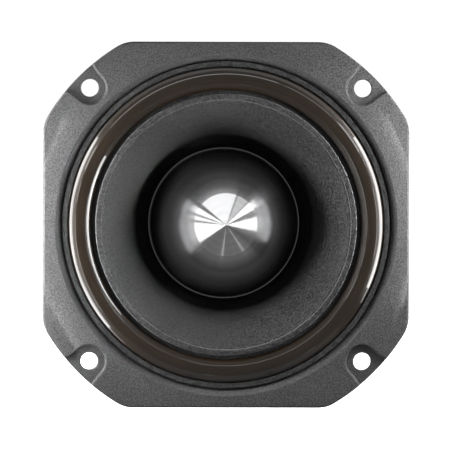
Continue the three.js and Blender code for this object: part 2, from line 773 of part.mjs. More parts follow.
// A button with a foot that keeps it behind the bezel and a shallow dish for the fingertip.
function pushButton(side) {
  const x = side * BUTTON_X;
  const capOutline = roundedRectangle(...CAP_SIZE, 0.8, x, BUTTON_Z);
  const footOutline = roundedRectangle(...FOOT_SIZE, 0.5, x, BUTTON_Z);
  const cap = slab(capOutline, FOOT_REAR - 0.5, CAP_REAR);
  const foot = slab(footOutline, FOOT_REAR - FOOT_THICKNESS, FOOT_REAR, 2);
  const roller = new THREE.CylinderGeometry(DISH_RADIUS, DISH_RADIUS, 2 * CAP_SIZE[0], 64);
  const dish = roller.rotateZ(Math.PI / 2);
  dish.translate(x, CAP_REAR + DISH_RADIUS - DISH_DEPTH, BUTTON_Z);
  return cut(joined(cap, foot), dish);
}

// A helix about the Y axis, from one end of the spring's wire to the other.
class Helix extends THREE.Curve {
  constructor(radius, front, rear, turns) {
    super();
    Object.assign(this, { radius, front, rear, turns });
  }

  getPoint(t, target = new THREE.Vector3()) {
    const angle = 2 * Math.PI * this.turns * t;
    const y = this.front + (this.rear - this.front) * t;
    return target.set(this.radius * Math.cos(angle), y, this.radius * Math.sin(angle));
  }
}

function roundSection(radius, sides) {
  const shape = new THREE.Shape();
  for (let side = 0; side < sides; side += 1) {
    const angle = (2 * Math.PI * side) / sides;
    const [x, y] = [radius * Math.cos(angle), radius * Math.sin(angle)];
    if (side === 0) shape.moveTo(x, y);
    else shape.lineTo(x, y);
  }
  shape.closePath();
  return shape;
}

function alongPath(path, radius, sides, steps) {
  const options = { extrudePath: path, steps, bevelEnabled: false };
  return new THREE.ExtrudeGeometry(roundSection(radius, sides), options);
}

function terminalSpring(side) {
  const front = CONTACT_Y + CONTACT_THICKNESS + GAP + SPRING_WIRE;
  const rear = FOOT_REAR - FOOT_THICKNESS - GAP - SPRING_WIRE;
  const path = new Helix(SPRING_RADIUS, front, rear, SPRING_TURNS);
  const coil = alongPath(path, SPRING_WIRE, 5, SPRING_TURNS * 10);
  return coil.translate(side * BUTTON_X, 0, BUTTON_Z);
}

// A brass strip on the well's floor that comes out of the body's side as a solder tag.
function terminalContact(side) {
  const [rear, half] = [CONTACT_Y + CONTACT_THICKNESS, CONTACT_WIDTH / 2];
  const strip = box(CONTACT_START, CONTACT_END, CONTACT_Y, rear, -half, half);
  return turnedTo(strip, side > 0 ? 0 : Math.PI);
}

// ---- Lead wires --------------------------------------------------------------------------------

// A corner of a path in the X-Y plane, between two straights that meet at x, y.
function bend(x, y, fromX, fromY, toX, toY) {
  return new THREE.QuadraticBezierCurve3(
    new THREE.Vector3(x + fromX, y + fromY, 0),
    new THREE.Vector3(x, y, 0),
    new THREE.Vector3(x + toX, y + toY, 0),
  );
}

function leadWire(side) {
  const lugY = LUG_Y - GAP - WIRE_RADIUS;
  const tagY = CONTACT_Y + CONTACT_THICKNESS + GAP + WIRE_RADIUS;
  const path = new THREE.CurvePath();
  const start = new THREE.Vector3(WIRE_START, lugY, 0);
  const end = new THREE.Vector3(TERMINAL_HALF_X + 1, tagY, 0);
  const first = bend(WIRE_OUT, lugY, -WIRE_BEND, 0, 0, WIRE_BEND);
  const second = bend(WIRE_OUT, tagY, 0, -WIRE_BEND, -WIRE_BEND, 0);
  path.add(new THREE.LineCurve3(start, first.v0));
  path.add(first);
  path.add(new THREE.LineCurve3(first.v2, second.v0));
  path.add(second);
  path.add(new THREE.LineCurve3(second.v2, end));
  return turnedTo(alongPath(path, WIRE_RADIUS, 6, WIRE_STEPS), side > 0 ? 0 : Math.PI);
}

// ---- Assembly ----------------------------------------------------------------------------------

piece("front_frame", frontFrame(), POWDER_COAT);
piece("horn_flare", hornFlare(), POWDER_COAT);
piece("trim_ring", trimRing(), RING_PLASTIC);
piece("bullet", bullet(), SPUN_ALUMINIUM);
piece("bullet_spider", bulletSpider(), DARK_PLASTIC);
piece("bullet_screw", bulletScrew(), ZINC_STEEL);
piece("throat_gasket", throatGasket(), CARD);
piece("diaphragm_ring", diaphragmRing(), DARK_PLASTIC);
piece("surround", surround(), KAPTON);
piece("dome_diaphragm", domeDiaphragm(), TITANIUM);
piece("coil_former", coilFormer(), KAPTON);
piece("voice_coil", voiceCoil(), COPPER);
piece("pole_pad", polePad(), FOAM);
piece("top_plate", topPlate(), ZINC_STEEL);
piece("magnet", magnet(), FERRITE);
piece("yoke", yoke(), ZINC_STEEL);
piece("rear_cover", rearCover(), POWDER_COAT);
piece("terminal_body", terminalBody(), DARK_PLASTIC);
piece("terminal_plate", terminalPlate(), DARK_PLASTIC);

DIAGONALS.forEach((angle, index) => {
  piece(`assembly_screw_${index + 1}`, assemblyScrew(angle), BLACK_STEEL);
  piece(`cover_screw_${index + 1}`, coverScrew(angle), ZINC_STEEL);
});

for (const { side, label } of LEFT_AND_RIGHT) {
  const [color, plastic] = side > 0 ? ["red", RED_PLASTIC] : ["black", DARK_PLASTIC];
  piece(`coil_lead_${label}`, coilLead(side), COPPER);
  piece(`solder_lug_${label}`, solderLug(side), BRASS);
  piece(`lead_wire_${label}`, leadWire(side), plastic);
  piece(`terminal_contact_${label}`, terminalContact(side), BRASS);
  piece(`terminal_spring_${label}`, terminalSpring(side), ZINC_STEEL);
  piece(`terminal_screw_${label}`, terminalScrew(side), ZINC_STEEL);
  piece(`push_button_${color}`, pushButton(side), plastic);
}

export default group;
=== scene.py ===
"""Looks of a square-frame bullet tweeter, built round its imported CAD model.

Metres, +Z up. The sound axis is Y and the face looks towards -Y. Profiles are written in millimetres, as
[radius, y] points that are turned about the Y axis.
"""

import math

import bmesh
import bpy
from mathutils import Matrix, Vector


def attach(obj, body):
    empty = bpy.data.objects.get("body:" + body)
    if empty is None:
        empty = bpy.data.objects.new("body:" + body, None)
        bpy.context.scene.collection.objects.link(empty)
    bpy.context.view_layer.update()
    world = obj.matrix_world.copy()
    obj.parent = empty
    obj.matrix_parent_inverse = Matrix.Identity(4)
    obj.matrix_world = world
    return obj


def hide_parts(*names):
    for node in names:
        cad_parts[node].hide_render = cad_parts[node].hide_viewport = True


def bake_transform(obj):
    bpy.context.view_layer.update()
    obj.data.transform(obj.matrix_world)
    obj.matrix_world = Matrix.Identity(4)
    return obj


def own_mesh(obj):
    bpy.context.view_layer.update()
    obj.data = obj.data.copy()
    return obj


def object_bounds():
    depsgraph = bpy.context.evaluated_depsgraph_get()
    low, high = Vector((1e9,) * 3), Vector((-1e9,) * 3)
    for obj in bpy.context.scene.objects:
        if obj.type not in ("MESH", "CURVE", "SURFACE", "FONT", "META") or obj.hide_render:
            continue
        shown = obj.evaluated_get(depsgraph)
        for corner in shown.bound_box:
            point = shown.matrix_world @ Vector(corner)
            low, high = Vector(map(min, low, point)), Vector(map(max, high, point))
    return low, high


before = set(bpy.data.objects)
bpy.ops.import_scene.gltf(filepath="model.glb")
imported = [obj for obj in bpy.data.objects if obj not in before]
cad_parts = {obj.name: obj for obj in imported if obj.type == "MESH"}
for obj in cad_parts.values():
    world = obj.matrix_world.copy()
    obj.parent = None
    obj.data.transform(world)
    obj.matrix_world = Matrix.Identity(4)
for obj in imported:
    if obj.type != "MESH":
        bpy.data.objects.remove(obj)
cad_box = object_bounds()

MM = 0.001
FINE, SMALL = 288, 40  # facets round a large and a small piece
DIAGONALS = [math.radians(45 + 90 * quarter) for quarter in range(4)]
SIDES = ((1, "1"), (-1, "2"))  # direction along X, and the number in the names
scene = bpy.context.scene

# ---- Dimensions that repeat the CAD model's, in millimetres ---------------------------------------

FLANGE_HALF = 47.625
CORNER_RADIUS = 54.4
CORNER_FILLET = 9
FLANGE_FRONT = -5
SEAT_RADIUS = 42.9
SHOULDER_Y = -1
HOLE_RADIUS = 2.3
HOLE_CIRCLE = 35.55 * math.sqrt(2)
POCKET_RADIUS = 4.2
POCKET_DEPTH = 1.2
POCKET_REACH = 6.5
SKIRT_OUTER = 42.3
SKIRT_INNER = 40.3
SKIRT_END = 36.5
CHANNEL_INNER = 34.1
CHANNEL_FLOOR = -2.1
LAND_TOP = -4.2
MOUTH_RADIUS, NECK_RADIUS, THROAT_RADIUS = 32.2, 22.9, 13.6
THROAT_LIP_Y = 22.6
FLARE_POWER = 1.8
RIM_Y = 16.386
BULLET_TIP, BULLET_BACK = -5, 20.7
COVER_FRONT, COVER_REAR = 36.8, 65.5
COVER_WALL = 1.6
COVER_FILLET = 5
COVER_SCREW_CIRCLE = 29
BEZEL_FRONT, BEZEL_REAR = 65.8, 67.3
BEZEL_SCREW_X = 22.6
WIRE_HOLE_RADIUS = 1.6
WIRE_HOLE_Z = 6
BUTTON_X, BUTTON_Z = 9.5, -0.4
CAP_REAR = 70.1
DISH_RADIUS, DISH_DEPTH = 14, 0.5
SPRING_FRONT, SPRING_REAR = 58.4, 63.1
LEAD_Y, LEAD_END = 32.15, 23
LEAD_WIDTH, LEAD_THICKNESS = 1.2, 0.25

# ---- Dimensions of the finer shapes, in millimetres --------------------------------------------------

CONE_RADIUS = 8.15  # where the bullet's conical tip meets its round nose
BULLET_EDGE = 19.4  # where the round nose meets the bead at its rim

# ---- Camera ---------------------------------------------------------------------------------------


def aim(obj, target, roll=0.0):
    """Points obj's -Z at target, with +Z up, then rolls it."""
    direction = Vector(target) - obj.location
    turn = direction.to_track_quat("-Z", "Y").to_matrix().to_4x4()
    spot = Matrix.Translation(obj.location)
    obj.matrix_world = spot @ turn @ Matrix.Rotation(roll, 4, "Z")


CAMERA_LEFT, CAMERA_ABOVE, CAMERA_ROLL = (math.radians(angle) for angle in (1.84, 1.58, 0.18))
CAMERA_DISTANCE = 3.0
VIEW_WIDTH = 0.11763  # what the picture's width covers at the flange
SENSOR_WIDTH = 36
# Just off the middle of the face
look_at = Vector((-0.00007, FLANGE_FRONT * MM, -0.00027))
away = Vector(
    (
        -math.sin(CAMERA_LEFT) * math.cos(CAMERA_ABOVE),
        -math.cos(CAMERA_LEFT) * math.cos(CAMERA_ABOVE),
        math.sin(CAMERA_ABOVE),
    )
)
camera_data = bpy.data.cameras.new("camera")
camera_data.sensor_width = SENSOR_WIDTH
camera_data.lens = SENSOR_WIDTH * CAMERA_DISTANCE / VIEW_WIDTH
camera_data.clip_end = 20
camera = bpy.data.objects.new("camera", camera_data)
scene.collection.objects.link(camera)
camera.location = look_at + CAMERA_DISTANCE * away
bpy.context.view_layer.update()
aim(camera, look_at, roll=CAMERA_ROLL)
scene.camera = camera

# ---- Light and background ---------------------------------------------------------------------------


def softbox(
    name,
    polar,
    azimuth,
    distance,
    brightness,
    seen_by="both",
    flats=1,
    beam=180,
    target=(0, 0, 0),
):
    """A light, or a curved row of flats, that faces the origin and covers two ranges of angle from there.

    All angles are in degrees. polar starts at the axis in front of the face, azimuth turns from +X to +Z, and
    beam is how widely the light spreads. distance is in metres. A target in millimetres takes the origin's
    place. A "gloss" light shows only in reflections, and a "matt" light shows in none.
    """
    step = math.radians(azimuth[1] - azimuth[0]) / flats
    low, high = (math.radians(angle) for angle in polar)
    tilt = (low + high) / 2
    for index in range(flats):
        turn = math.radians(azimuth[0]) + (index + 0.5) * step
        outwards = Vector((math.sin(tilt) * math.cos(turn), -math.cos(tilt), math.sin(tilt) * math.sin(turn)))
        around = Vector((-math.sin(turn), 0, math.cos(turn)))
        data = bpy.data.lights.new(f"{name}_{index + 1}", "AREA")
        data.shape = "RECTANGLE"
        data.size = 2 * distance * math.sin(tilt) * math.tan(step / 2)
        data.size_y = 2 * distance * math.tan((high - low) / 2)
        data.energy = brightness * math.pi * data.size * data.size_y
        data.spread = math.radians(beam)
        light = bpy.data.objects.new(data.name, data)
        scene.collection.objects.link(light)
        facing = Matrix((around, outwards.cross(around), outwards)).transposed().to_4x4()
        light.matrix_world = Matrix.Translation(Vector(target) * MM + distance * outwards) @ facing
        light.visible_camera = False
        light.visible_diffuse = seen_by != "gloss"
        light.visible_glossy = seen_by != "matt"


# What the bullet's conical tip and round nose mirror
softbox("nose_left", (40, 50), (178, 218), 0.40, 3.2, flats=2)
softbox("nose_left_middle", (42, 53), (165, 173), 0.40, 3.0)
softbox("nose_left_upper", (42, 58), (149, 160), 0.40, 3.0)
softbox("nose_top", (39, 49), (67, 140), 0.40, 2.8, flats=3)
softbox("nose_top_right", (39, 49), (43, 64), 0.40, 1.6)
softbox("nose_right_upper", (42, 60), (26, 40), 0.40, 3.0)
softbox("nose_right", (40, 50), (-14, 12), 0.40, 3.2)
softbox("nose_low_left", (42, 52), (264, 268), 0.50, 0.8)
softbox("nose_low_right", (42, 52), (303, 307), 0.50, 0.8)
softbox("nose_below", (48, 74), (228, 318), 0.50, 0.10, flats=3)
# What the trim ring's outer and inner slopes mirror
softbox("ring_left", (79.5, 83.3), (146, 222), 0.0505, 6.5, "gloss", flats=3)
softbox("ring_left_ends", (81.5, 83.3), (140, 230), 0.0503, 3.0, "gloss", flats=3)
softbox("ring_right", (79.5, 83.3), (-24, 34), 0.0505, 7.0, "gloss", flats=3)
softbox("ring_right_ends", (81.5, 83.3), (-30, 42), 0.0503, 3.0, "gloss", flats=3)
softbox("ring_top", (79.5, 83), (42, 140), 0.0505, 0.45, "gloss", flats=4)
softbox("ring_inside_left", (84, 87.8), (148, 214), 0.40, 7.0, "gloss", flats=2)
softbox("ring_inside_right", (84, 87.8), (-30, 38), 0.40, 7.0, "gloss", flats=2)
# What lights the powder coat: from above, into the horn, and low from both sides
softbox("overhead", (84, 128), (50, 130), 0.50, 0.7, "matt")
softbox("horn_left_side", (50, 58), (-12, 4), 0.30, 2.1, "matt", beam=9, target=(-29, 0, 1))
softbox("face_left", (67, 80), (158, 203), 0.096, 70.0, "matt", flats=2)
softbox("face_right", (64, 78), (-4, 36), 0.092, 49.0, "matt", flats=2)
# Behind the object
softbox("back_left", (118, 160), (130, 195), 0.60, 4.2)
softbox("back_right", (118, 160), (-15, 50), 0.60, 4.2)
# The glow on the bullet's sides: layers that get smaller, so that it fades towards its edges
for layer in range(4):
    reach = (53, 80 - 5 * layer)
    left, right = (138 + 7 * layer, 228 - 7 * layer), (-28 + 7 * layer, 48 - 5 * layer)
    softbox(f"nose_side_left_{layer + 1}", reach, left, 0.40, 0.17, flats=3)
    softbox(f"nose_side_right_{layer + 1}", reach, right, 0.40, 0.18, flats=3)


BACKDROP_STRENGTH, FILL_STRENGTH = 1.05, 0.13


def make_world():
    """White behind the object, and a dim even light on it."""
    world = bpy.data.worlds.new("studio")
    world.use_nodes = True
    nodes, links = world.node_tree.nodes, world.node_tree.links
    nodes.clear()
    output = nodes.new("ShaderNodeOutputWorld")
    mix = nodes.new("ShaderNodeMixShader")
    seen = nodes.new("ShaderNodeBackground")
    seen.inputs["Color"].default_value = (1, 1, 1, 1)
    seen.inputs["Strength"].default_value = BACKDROP_STRENGTH
    dim = nodes.new("ShaderNodeBackground")
    dim.inputs["Color"].default_value = (1, 1, 1, 1)
    dim.inputs["Strength"].default_value = FILL_STRENGTH
    path = nodes.new("ShaderNodeLightPath")
    links.new(path.outputs["Is Camera Ray"], mix.inputs["Fac"])
    links.new(dim.outputs["Background"], mix.inputs[1])
    links.new(seen.outputs["Background"], mix.inputs[2])
    links.new(mix.outputs["Shader"], output.inputs["Surface"])
    scene.world = world


make_world()
scene.view_settings.view_transform = "Standard"

# ---- Materials ------------------------------------------------------------------------------------


class Paint:
    """A Principled material whose nodes are added one at a time."""

    def __init__(self, name, **sockets):
        self.material = bpy.data.materials.new(name)
        self.material.use_nodes = True
        tree = self.material.node_tree
        self.nodes, self.links = tree.nodes, tree.links
        self.shader = self.nodes["Principled BSDF"]
        for socket, value in sockets.items():
            self.shader.inputs[socket.replace("_", " ")].default_value = value
        self.place = self.nodes.new("ShaderNodeTexCoord").outputs["Object"]

    def add(self, kind, **inputs):
        """A new node with its inputs set. An underscore in a name stands for a space."""
        node = self.nodes.new(kind)
        for name, value in inputs.items():
            self.put(node.inputs[name.replace("_", " ")], value)
        return node

    def put(self, socket, value):
        """Sets a socket to a value, or links another node's output to it."""
        if isinstance(value, bpy.types.NodeSocket):
            self.links.new(value, socket)
        else:
            socket.default_value = value

    def noise(self, size, detail=2.0, rough=0.5, vector=None, distortion=0.0):
        """A noise whose features are about size millimetres across."""
        node = self.add(
            "ShaderNodeTexNoise",
            Vector=vector or self.place,
            Scale=1 / (size * MM),
            Detail=detail,
            Roughness=rough,
            Distortion=distortion,
        )
        return node.outputs["Fac"]

    def math(self, operation, first, second=0.0):
        node = self.nodes.new("ShaderNodeMath")
        node.operation = operation
        self.put(node.inputs[0], first)
        self.put(node.inputs[1], second)
        return node.outputs[0]

    def remap(self, value, low, high, to_low, to_high):
        """Carries value from one range to another."""
        node = self.nodes.new("ShaderNodeMapRange")
        for name, number in (
            ("From Min", low),
            ("From Max", high),
            ("To Min", to_low),
            ("To Max", to_high),
        ):
            node.inputs[name].default_value = number
        self.links.new(value, node.inputs["Value"])
        return node.outputs["Result"]

    def ramp(self, value, *stops):
        """Colours at positions along value."""
        node = self.nodes.new("ShaderNodeValToRGB")
        elements = node.color_ramp.elements
        while len(elements) < len(stops):
            elements.new(0.5)
        for element, (position, color) in zip(elements, stops):
            element.position = position
            element.color = (*color, 1)
        self.links.new(value, node.inputs["Fac"])
        return node.outputs["Color"]

    def mix(self, factor, first, second, blend="MIX"):
        node = self.nodes.new("ShaderNodeMix")
        node.data_type = "RGBA"
        node.blend_type = blend
        self.put(node.inputs[0], factor)
        self.put(node.inputs[6], first if not isinstance(first, tuple) else (*first, 1))
        self.put(node.inputs[7], second if not isinstance(second, tuple) else (*second, 1))
        return node.outputs[2]

    def radius(self):
        """Distance from the sound axis, in metres, and the three coordinates."""
        split = self.add("ShaderNodeSeparateXYZ", Vector=self.place)
        x, y, z = split.outputs
        squares = self.math("ADD", self.math("MULTIPLY", x, x), self.math("MULTIPLY", z, z))
        return self.math("SQRT", squares), x, y, z

    def color(self, value):
        self.put(self.shader.inputs["Base Color"], value)

    def roughness(self, value):
        self.put(self.shader.inputs["Roughness"], value)

    def bump(self, height, millimetres, strength=1.0):
        """Height from 0 to 1 that stands for that many millimetres. Calls add up."""
        node = self.add("ShaderNodeBump", Height=height, Distance=millimetres * MM)
        node.inputs["Strength"].default_value = strength
        socket = self.shader.inputs["Normal"]
        if socket.is_linked:
            self.links.new(socket.links[0].from_socket, node.inputs["Normal"])
        self.links.new(node.outputs["Normal"], socket)


# Metal grey for the painted edge highlights, also shown as coat worn thin
EDGE_GLINT_GREY = (0.17, 0.17, 0.175)


def powder_coat(name, dark, light, roughness, size, edges):
    """Black powder coat: a pebbled skin with paler grains about size millimetres across and slight pooling.

    On the turned edges, given as [radius, width] in millimetres, a speckled metal grey is painted in. It is
    partly the coat worn thin, where the metal shines through, and partly a painted highlight for the edges'
    glint.
    """
    paint = Paint(name, Metallic=0.0, Specular_IOR_Level=0.5)
    grain = paint.noise(size, detail=2, rough=0.6)
    speck = paint.noise(size / 2, detail=1)
    cloud = paint.noise(14, detail=3)
    base = paint.ramp(grain, (0.36, dark), (0.66, light))
    shade = paint.ramp(cloud, (0.3, (0.88, 0.88, 0.885)), (0.7, (1.08, 1.08, 1.08)))
    coat = paint.mix(1.0, base, shade, "MULTIPLY")
    radius = paint.radius()[0]
    # Painted highlight: a speckled metal grey along each given edge, for its glint as well as for thin coat
    for middle, width in edges:
        away = paint.math("ABSOLUTE", paint.math("SUBTRACT", radius, middle * MM))
        near = paint.remap(away, 0, width * MM, 1.0, 0.0)
        worn_and_glint = paint.math("MULTIPLY", near, paint.remap(speck, 0.4, 0.6, 0.0, 0.7))
        coat = paint.mix(worn_and_glint, coat, EDGE_GLINT_GREY)
    paint.color(coat)
    paint.roughness(paint.remap(speck, 0.3, 0.7, roughness - 0.07, roughness + 0.07))
    paint.bump(grain, 0.05, 0.8)
    paint.bump(speck, 0.012, 0.7)
    return paint.material


def ring_plastic():
    """Glossy dark-brown moulding with faint flow lines that run round the ring."""
    paint = Paint(
        "ring_plastic",
        Coat_Weight=1.0,
        Coat_Roughness=0.03,
        Coat_IOR=1.8,
        Roughness=0.3,
        Specular_IOR_Level=0.35,
    )
    radius, x, y, z = paint.radius()
    slow_turn = paint.math("MULTIPLY", paint.math("ARCTAN2", z, x), 0.0016)
    flow = paint.add("ShaderNodeCombineXYZ", X=radius, Y=y, Z=slow_turn)
    lines = paint.noise(0.55, detail=4, rough=0.6, vector=flow.outputs[0])
    cloud = paint.noise(9, detail=2)
    base = paint.ramp(
        lines,
        (0.30, (0.0045, 0.0028, 0.0014)),
        (0.55, (0.0076, 0.0048, 0.0024)),
        (0.75, (0.0130, 0.0085, 0.0046)),
    )
    paint.color(paint.mix(paint.remap(cloud, 0.3, 0.7, 0.0, 0.25), base, (0.017, 0.0112, 0.0074)))
    paint.bump(cloud, 0.12, 0.8)
    return paint.material


def spun_aluminium():
    """Aluminium spun and polished on a lathe: fine grooves run round it, so highlights fan out radially."""
    paint = Paint(
        "spun_aluminium",
        Metallic=1.0,
        Roughness=0.19,
        Anisotropic=0.94,
        Anisotropic_Rotation=0.25,
    )
    radius, _x, y, _z = paint.radius()
    depth = paint.add("ShaderNodeCombineXYZ", X=radius, Y=y)
    groove = paint.noise(0.16, detail=3, rough=0.7, vector=depth.outputs[0])
    band = paint.noise(1.6, detail=2, vector=depth.outputs[0])
    bright = paint.ramp(band, (0.3, (0.64, 0.64, 0.65)), (0.7, (0.76, 0.76, 0.77)))
    # Painted reflection by radius: the base colour is full white on the conical tip and the rim bead, as
    # painted highlights, and grows darker across the nose towards the rim, with a paler band part way out, as
    # painted shade for the nose mirroring the dark horn
    turned = paint.ramp(
        paint.remap(radius, CONE_RADIUS * MM, BULLET_EDGE * MM, 0.0, 1.0),
        (0.0, (1.0, 1.0, 1.0)),
        (0.01, (0.74, 0.74, 0.74)),
        (0.32, (0.46, 0.46, 0.465)),
        (0.42, (0.60, 0.60, 0.605)),
        (0.65, (0.46, 0.46, 0.465)),
        (0.97, (0.30, 0.30, 0.305)),
        (1.0, (1.0, 1.0, 1.0)),
    )
    paint.color(paint.mix(1.0, bright, turned, "MULTIPLY"))
    paint.bump(groove, 0.0012, 0.6)
    tangent = paint.nodes.new("ShaderNodeTangent")
    tangent.direction_type = "RADIAL"
    tangent.axis = "Y"
    paint.put(paint.shader.inputs["Tangent"], tangent.outputs[0])
    return paint.material


def moulded(name, dark, light, roughness, grain=0.25, depth=0.012):
    """Moulded plastic or rubber with a fine spark-eroded grain and slight colour variation."""
    paint = Paint(name, Specular_IOR_Level=0.5)
    fine = paint.noise(grain, detail=2, rough=0.6)
    cloud = paint.noise(6, detail=2)
    paint.color(paint.mix(cloud, dark, light))
    paint.roughness(paint.remap(fine, 0.3, 0.7, roughness - 0.06, roughness + 0.06))
    paint.bump(fine, depth, 0.7)
    return paint.material


def metal(name, dark, light, roughness, size=0.5, depth=0.006):
    """Plated or machined metal with fine tool marks and a cloudy sheen."""
    paint = Paint(name, Metallic=1.0)
    stretch = paint.add("ShaderNodeMapping", Vector=paint.place)
    stretch.inputs["Scale"].default_value = (1, 0.25, 1)
    marks = paint.noise(size, detail=4, rough=0.7, vector=stretch.outputs[0])
    cloud = paint.noise(4, detail=3)
    paint.color(paint.mix(cloud, dark, light))
    paint.roughness(paint.remap(marks, 0.3, 0.7, roughness - 0.08, roughness + 0.1))
    paint.bump(marks, depth, 0.6)
    return paint.material


def grainy(name, dark, light, roughness, size, depth):
    """Sintered, foamed or fibrous material with visible grains."""
    paint = Paint(name, Specular_IOR_Level=0.3)
    grains = paint.noise(size, detail=4, rough=0.7)
    paint.color(paint.ramp(grains, (0.3, dark), (0.7, light)))
    paint.roughness(paint.remap(grains, 0.3, 0.7, roughness - 0.1, min(1.0, roughness + 0.1)))
    paint.bump(grains, depth, 0.8)
    return paint.material


FRAME_COAT = powder_coat(
    "frame_powder_coat",
    dark=(0.014, 0.014, 0.014),
    light=(0.070, 0.070, 0.071),
    roughness=0.44,
    size=0.38,
    edges=(),
)
# The frame's powder coat with darker colours: painted shade for the recessed horn, its lip and its land
HORN_COAT_SHADED = powder_coat(
    "horn_powder_coat_painted_shade",
    dark=(0.0055, 0.0055, 0.0055),
    light=(0.0415, 0.0415, 0.042),
    roughness=0.46,
    size=0.5,
    # The land's two turned edges, which get the painted highlight
    edges=((32.55, 0.16), (33.98, 0.12)),
)
RING_PLASTIC = ring_plastic()
SPUN_ALUMINIUM = spun_aluminium()
BLACK_PLASTIC = moulded("black_plastic", (0.012, 0.012, 0.0125), (0.022, 0.022, 0.023), 0.42)
RED_PLASTIC = moulded("red_plastic", (0.42, 0.014, 0.012), (0.52, 0.024, 0.018), 0.32)
RED_INSULATION = moulded("red_insulation", (0.33, 0.012, 0.01), (0.42, 0.02, 0.016), 0.45, 0.6)
BLACK_INSULATION = moulded("black_insulation", (0.012, 0.012, 0.012), (0.024, 0.024, 0.024), 0.45, 0.6)
ZINC_STEEL = metal("zinc_steel", (0.50, 0.52, 0.55), (0.62, 0.63, 0.64), 0.28)
BLACK_STEEL = metal("black_steel", (0.035, 0.035, 0.037), (0.06, 0.06, 0.062), 0.4)
SPRING_STEEL = metal("spring_steel", (0.45, 0.45, 0.47), (0.56, 0.56, 0.58), 0.25, 0.2)
PLATED_IRON = metal("plated_iron", (0.42, 0.43, 0.45), (0.56, 0.57, 0.59), 0.35, 0.8)
TITANIUM = metal("titanium", (0.36, 0.36, 0.38), (0.46, 0.46, 0.48), 0.36, 0.3)
COPPER = metal("copper", (0.55, 0.20, 0.08), (0.68, 0.30, 0.14), 0.3, 0.25)
BRASS = metal("brass", (0.55, 0.37, 0.12), (0.66, 0.47, 0.18), 0.3, 0.4)
FERRITE = grainy("ferrite", (0.035, 0.035, 0.037), (0.065, 0.065, 0.067), 0.7, 0.5, 0.02)
POLYIMIDE = grainy("polyimide", (0.36, 0.12, 0.02), (0.46, 0.18, 0.035), 0.35, 1.5, 0.004)
FOAM = grainy("foam", (0.02, 0.02, 0.02), (0.06, 0.06, 0.06), 0.9, 0.4, 0.06)
CARD = grainy("card", (0.24, 0.17, 0.10), (0.34, 0.26, 0.16), 0.9, 0.3, 0.03)

# ---- Mesh helpers ---------------------------------------------------------------------------------


def make(name, points, faces):
    """A mesh object from points in millimetres."""
    mesh = bpy.data.meshes.new(name)
    mesh.from_pydata([(x * MM, y * MM, z * MM) for x, y, z in points], [], faces)
    obj = bpy.data.objects.new(name, mesh)
    scene.collection.objects.link(obj)
    tidy_normals(mesh)
    return obj


def tidy_normals(mesh):
    """Turns every face outwards."""
    work = bmesh.new()
    work.from_mesh(mesh)
    bmesh.ops.recalc_face_normals(work, faces=work.faces)
    work.to_mesh(mesh)
    work.free()


def smooth(obj, degrees=30):
    """Smooth shading, with a crease where faces meet at more than this angle."""
    obj.data.shade_smooth()
    obj.data.set_sharp_from_angle(angle=math.radians(degrees))


def eased(outline, steps=4):
    """Rounds the corners of a closed [radius, y, size] outline. size is how far a corner is cut back."""
    result = []
    for index, (radius, y, size) in enumerate(outline):
        corner = Vector((radius, y))
        if not size:
            result.append((radius, y))
            continue
        before = Vector(outline[index - 1][:2]) - corner
        after = Vector(outline[(index + 1) % len(outline)][:2]) - corner
        start = corner + before.normalized() * min(size, 0.48 * before.length)
        end = corner + after.normalized() * min(size, 0.48 * after.length)
        for step in range(steps + 1):
            t = step / steps
            point = (1 - t) ** 2 * start + 2 * t * (1 - t) * corner + t * t * end
            result.append((point.x, point.y))
    return result


def eased_open(outline):
    """Rotates a closed outline so that it starts and ends on the axis, then rounds its corners."""
    start = next(i for i, point in enumerate(outline) if point[0] == 0 and outline[i - 1][0] != 0)
    turned = outline[start + 1 :] + outline[: start + 1]
    return eased(turned)


def lathe(name, outline, segments=FINE, x=0.0, z=0.0):
    """Turns a closed [radius, y] outline about an axis along Y through x, z. Its ends may touch the axis."""
    points, rings, faces = [], [], []
    for radius, y in outline:
        if radius < 1e-6:
            rings.append([len(points)] * segments)
            points.append((x, y, z))
            continue
        rings.append(list(range(len(points), len(points) + segments)))
        for index in range(segments):
            angle = 2 * math.pi * index / segments
            points.append((x + radius * math.cos(angle), y, z + radius * math.sin(angle)))
    pairs = list(zip(rings, rings[1:]))
    if outline[0][0] > 1e-6:
        pairs.append((rings[-1], rings[0]))
    for first, second in pairs:
        for index in range(segments):
            following = (index + 1) % segments
            corners = [first[index], first[following], second[following], second[index]]
            face = list(dict.fromkeys(corners))
            if len(face) > 2:
                faces.append(face)
    return make(name, points, faces)


def prism(name, outline, front, rear):
    """An [x, z] outline made solid between two Y values."""
    count = len(outline)
    points = [(x, front, z) for x, z in outline] + [(x, rear, z) for x, z in outline]
    faces = [list(range(count)), list(range(2 * count - 1, count - 1, -1))]
    for index in range(count):
        following = (index + 1) % count
        faces.append([index, index + count, following + count, following])
    return make(name, points, faces)


def loft(name, levels):
    """A solid through equal-length [x, z] outlines, each with its own Y."""
    count = len(levels[0][0])
    points = [(x, y, z) for outline, y in levels for x, z in outline]
    faces = [list(range(count)), list(range(len(points) - 1, len(points) - count - 1, -1))]
    for level in range(len(levels) - 1):
        low, high = level * count, (level + 1) * count
        for index in range(count):
            following = (index + 1) % count
            faces.append([low + index, high + index, high + following, low + following])
    return make(name, points, faces)


def quarter_round(size, steps=4):
    """[inwards, along] steps round a convex edge, from the end face to the side."""
    turns = [math.pi / 2 * step / steps for step in range(steps + 1)]
    return [(size * (1 - math.sin(turn)), size * (1 - math.cos(turn))) for turn in turns]


def arc(centre_x, centre_z, radius, start, end, steps):
    """Points along an arc, both ends included."""
    angles = [start + (end - start) * step / steps for step in range(steps + 1)]
    return [(centre_x + radius * math.cos(a), centre_z + radius * math.sin(a)) for a in angles]


